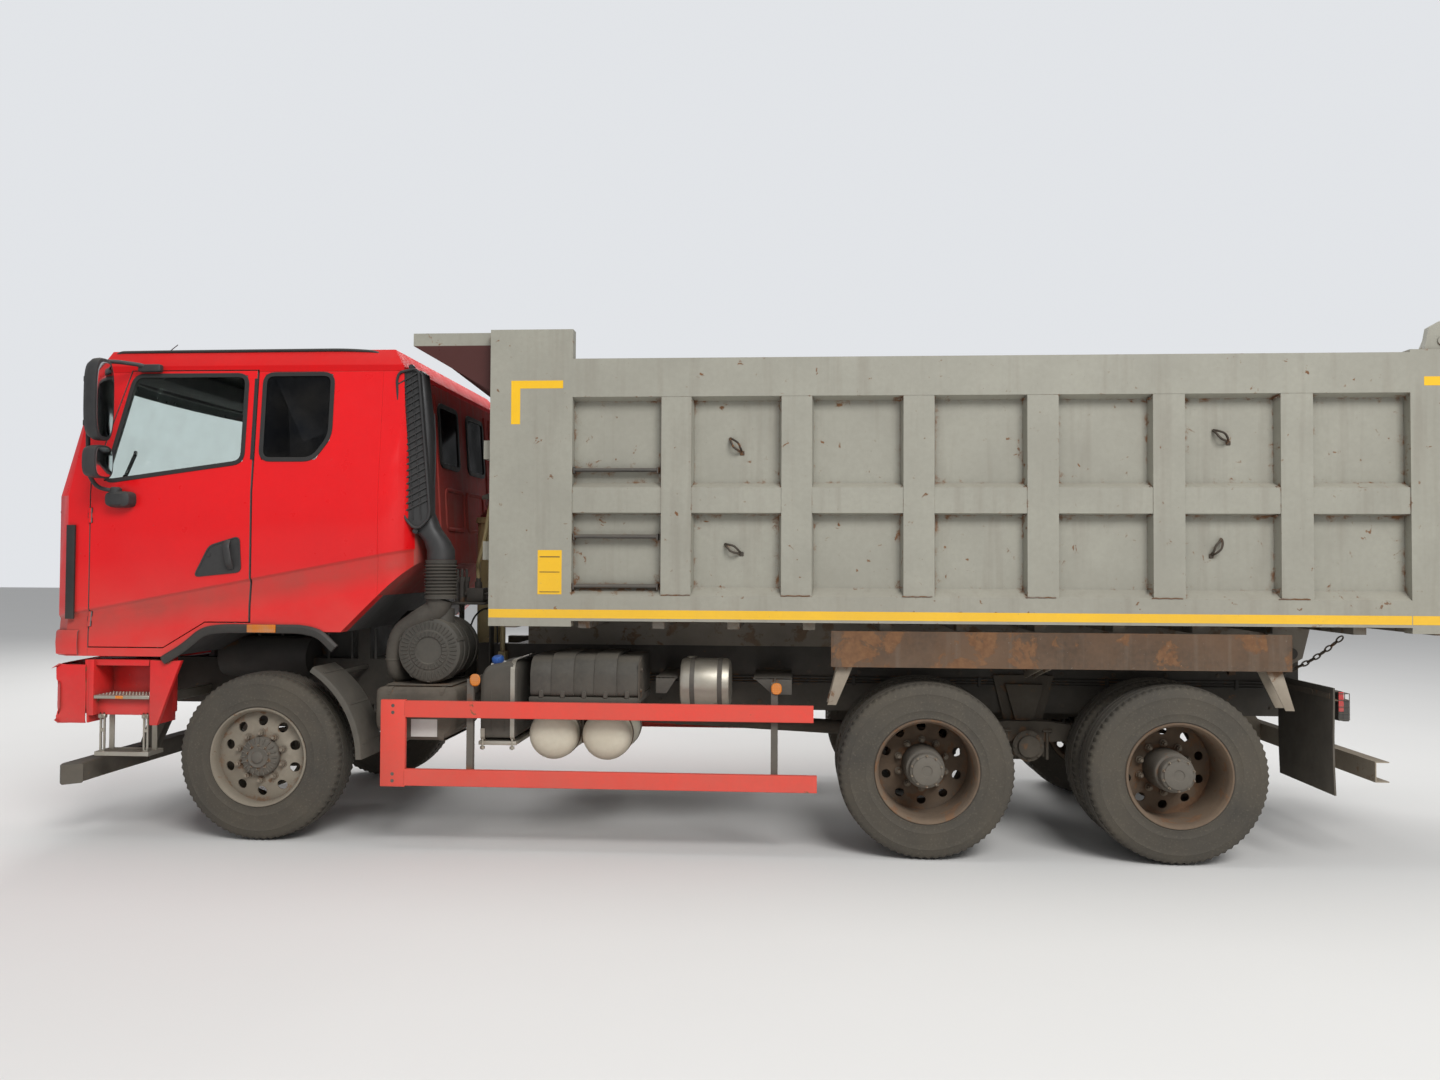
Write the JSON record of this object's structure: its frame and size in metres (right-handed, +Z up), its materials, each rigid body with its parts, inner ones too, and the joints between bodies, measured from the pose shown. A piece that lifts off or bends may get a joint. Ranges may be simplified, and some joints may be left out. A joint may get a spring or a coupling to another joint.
{
  "type": "six-wheel dump truck",
  "caption": "Forward-control dump truck with tilting cab, ribbed steel tipping bed, top-hung tailgate, telescopic front hoist, steered front wheels and twin rear wheels.",
  "frame": {"origin": "on the ground, under the middle of the truck's length and width", "axes": "+X towards the front along the length, +Y to the truck's left, +Z up"},
  "size_m": [8.4798, 2.94, 3.06],
  "materials": {
    "cab_red": "gloss red paint, dusty low down",
    "bed_grey": "satin grey paint with rust at the welds",
    "chassis_black": "dusty black frame paint",
    "guard_red": "faded red paint",
    "rusty_steel": "rusted steel",
    "black_plastic": "dusty black plastic",
    "glass": "tinted glass",
    "tyre": "dusty rubber",
    "rim": "dusty silver paint with rust",
    "axle_black": "dusty black castings",
    "tank_cream": "cream paint",
    "aluminium": "brushed aluminium",
    "seat_fabric": "dark woven cloth",
    "lamp": "red lamp glass",
    "hoist_steel": "worn steel tubes",
    "step_red": "red paint on the steps"
  },
  "bodies": {
    "chassis": {"chassis_frame": "chassis_black", "bed_subframe": "chassis_black", "engine": "axle_black", "axles_and_shafts": "axle_black", "leaf_springs": "axle_black", "front_bumper": "cab_red", "lamps": "lamp", "underrun_bars": "rusty_steel", "cab_steps": "step_red", "mudguards": "black_plastic", "side_boxes": "black_plastic", "side_tanks": "aluminium", "air_filter": "black_plastic", "side_guards": "guard_red", "fender_beams": "rusty_steel"},
    "cab": {"cab_floor": "cab_red", "cab_sides": "cab_red", "cab_back": "cab_red", "cab_roof": "cab_red", "cab_front": "cab_red", "cab_glass": "glass", "dashboard": "black_plastic", "seats": "seat_fabric", "sun_visor": "black_plastic", "air_intake": "black_plastic"},
    "left_door_body": {"left_door": "cab_red", "left_door_glass": "glass", "left_mirrors": "black_plastic"},
    "right_door_body": {"right_door": "cab_red", "right_door_glass": "glass", "right_mirrors": "black_plastic"},
    "bed": {"bed_floor": "bed_grey", "bed_sides": "bed_grey", "bed_front": "bed_grey"},
    "tailgate_body": {"tailgate": "bed_grey"},
    "hoist": {"hoist_tube": "hoist_steel"},
    "left_steering": {"left_knuckle": "axle_black"},
    "right_steering": {"right_knuckle": "axle_black"},
    "track_rod": {"tie_rod": "axle_black"},
    "hoist_rod_1": {"hoist_stage_1": "hoist_steel"},
    "hoist_rod_2": {"hoist_stage_2": "hoist_steel"},
    "hoist_rod_3": {"hoist_stage_3": "hoist_steel"},
    "hoist_rod_4": {"hoist_stage_4": "hoist_steel"},
    "front_left_wheel": {"front_left_tyre": "tyre", "front_left_rim": "rim"},
    "mid_left_wheel": {"mid_left_tyres": "tyre", "mid_left_rims": "rim"},
    "rear_left_wheel": {"rear_left_tyres": "tyre", "rear_left_rims": "rim"},
    "front_right_wheel": {"front_right_tyre": "tyre", "front_right_rim": "rim"},
    "mid_right_wheel": {"mid_right_tyres": "tyre", "mid_right_rims": "rim"},
    "rear_right_wheel": {"rear_right_tyres": "tyre", "rear_right_rims": "rim"}
  },
  "joints": [
    {"name": "cab_tilt", "type": "hinge", "parent": "chassis", "child": "cab", "pos_m": [4.115, 0, 0.85], "axis": [0, 1, 0], "range_deg": [0, 50]},
    {"name": "left_door_swing", "type": "hinge", "parent": "cab", "child": "left_door_body", "pos_m": [3.875, 1.17, 1.6], "axis": [0, 0, -1], "range_deg": [0, 68]},
    {"name": "right_door_swing", "type": "hinge", "parent": "cab", "child": "right_door_body", "pos_m": [3.875, -1.17, 1.6], "axis": [0, 0, 1], "range_deg": [0, 68]},
    {"name": "bed_tip", "type": "hinge", "parent": "chassis", "child": "bed", "pos_m": [-3.5, 0, 1.14], "axis": [0, -1, 0], "range_deg": [0, 45]},
    {"name": "tailgate_swing", "type": "hinge", "parent": "bed", "child": "tailgate_body", "pos_m": [-4, 0, 2.945], "axis": [0, 1, 0], "range_deg": [0, 75]},
    {"name": "hoist_lean", "type": "hinge", "parent": "chassis", "child": "hoist", "pos_m": [1.715, 0, 0.9], "axis": [0, -1, 0], "range_deg": [0, 26]},
    {"name": "hoist_slide_1", "type": "slide", "parent": "hoist", "child": "hoist_rod_1", "axis": [0, 0, 1], "range_m": [0, 0.985]},
    {"name": "hoist_slide_2", "type": "slide", "parent": "hoist_rod_1", "child": "hoist_rod_2", "axis": [0, 0, 1], "range_m": [0, 0.985]},
    {"name": "hoist_slide_3", "type": "slide", "parent": "hoist_rod_2", "child": "hoist_rod_3", "axis": [0, 0, 1], "range_m": [0, 0.985]},
    {"name": "hoist_slide_4", "type": "slide", "parent": "hoist_rod_3", "child": "hoist_rod_4", "axis": [0, 0, 1], "range_m": [0, 0.985]},
    {"name": "left_steer", "type": "hinge", "parent": "chassis", "child": "left_steering", "pos_m": [2.815, 0.8, 0.505], "axis": [0, 0, 1], "range_deg": [-36, 36]},
    {"name": "right_steer", "type": "hinge", "parent": "chassis", "child": "right_steering", "pos_m": [2.815, -0.8, 0.505], "axis": [0, 0, 1], "range_deg": [-36, 36]},
    {"name": "track_rod_turn", "type": "hinge", "parent": "left_steering", "child": "track_rod", "pos_m": [2.625, 0.8, 0.358], "axis": [0, 0, 1], "range_deg": [-36, 36]},
    {"name": "front_left_roll", "type": "hinge", "parent": "left_steering", "child": "front_left_wheel", "pos_m": [2.815, 1.007, 0.505], "axis": [0, 1, 0], "continuous": true},
    {"name": "mid_left_roll", "type": "hinge", "parent": "chassis", "child": "mid_left_wheel", "pos_m": [-1.16, 0.948, 0.505], "axis": [0, 1, 0], "continuous": true},
    {"name": "rear_left_roll", "type": "hinge", "parent": "chassis", "child": "rear_left_wheel", "pos_m": [-2.56, 0.948, 0.505], "axis": [0, 1, 0], "continuous": true},
    {"name": "front_right_roll", "type": "hinge", "parent": "right_steering", "child": "front_right_wheel", "pos_m": [2.815, -1.007, 0.505], "axis": [0, 1, 0], "continuous": true},
    {"name": "mid_right_roll", "type": "hinge", "parent": "chassis", "child": "mid_right_wheel", "pos_m": [-1.16, -0.948, 0.505], "axis": [0, 1, 0], "continuous": true},
    {"name": "rear_right_roll", "type": "hinge", "parent": "chassis", "child": "rear_right_wheel", "pos_m": [-2.56, -0.948, 0.505], "axis": [0, 1, 0], "continuous": true}
  ],
  "couplings": [
    {"joint": "hoist_lean", "follows": "bed_tip", "ratio": 0.56871},
    {"joint": "hoist_slide_1", "follows": "bed_tip", "m_per_rad": 1.2438},
    {"joint": "hoist_slide_2", "follows": "bed_tip", "m_per_rad": 1.2438},
    {"joint": "hoist_slide_3", "follows": "bed_tip", "m_per_rad": 1.2438},
    {"joint": "hoist_slide_4", "follows": "bed_tip", "m_per_rad": 1.2438},
    {"joint": "right_steer", "follows": "left_steer", "ratio": 1},
    {"joint": "track_rod_turn", "follows": "left_steer", "ratio": -1}
  ]
}
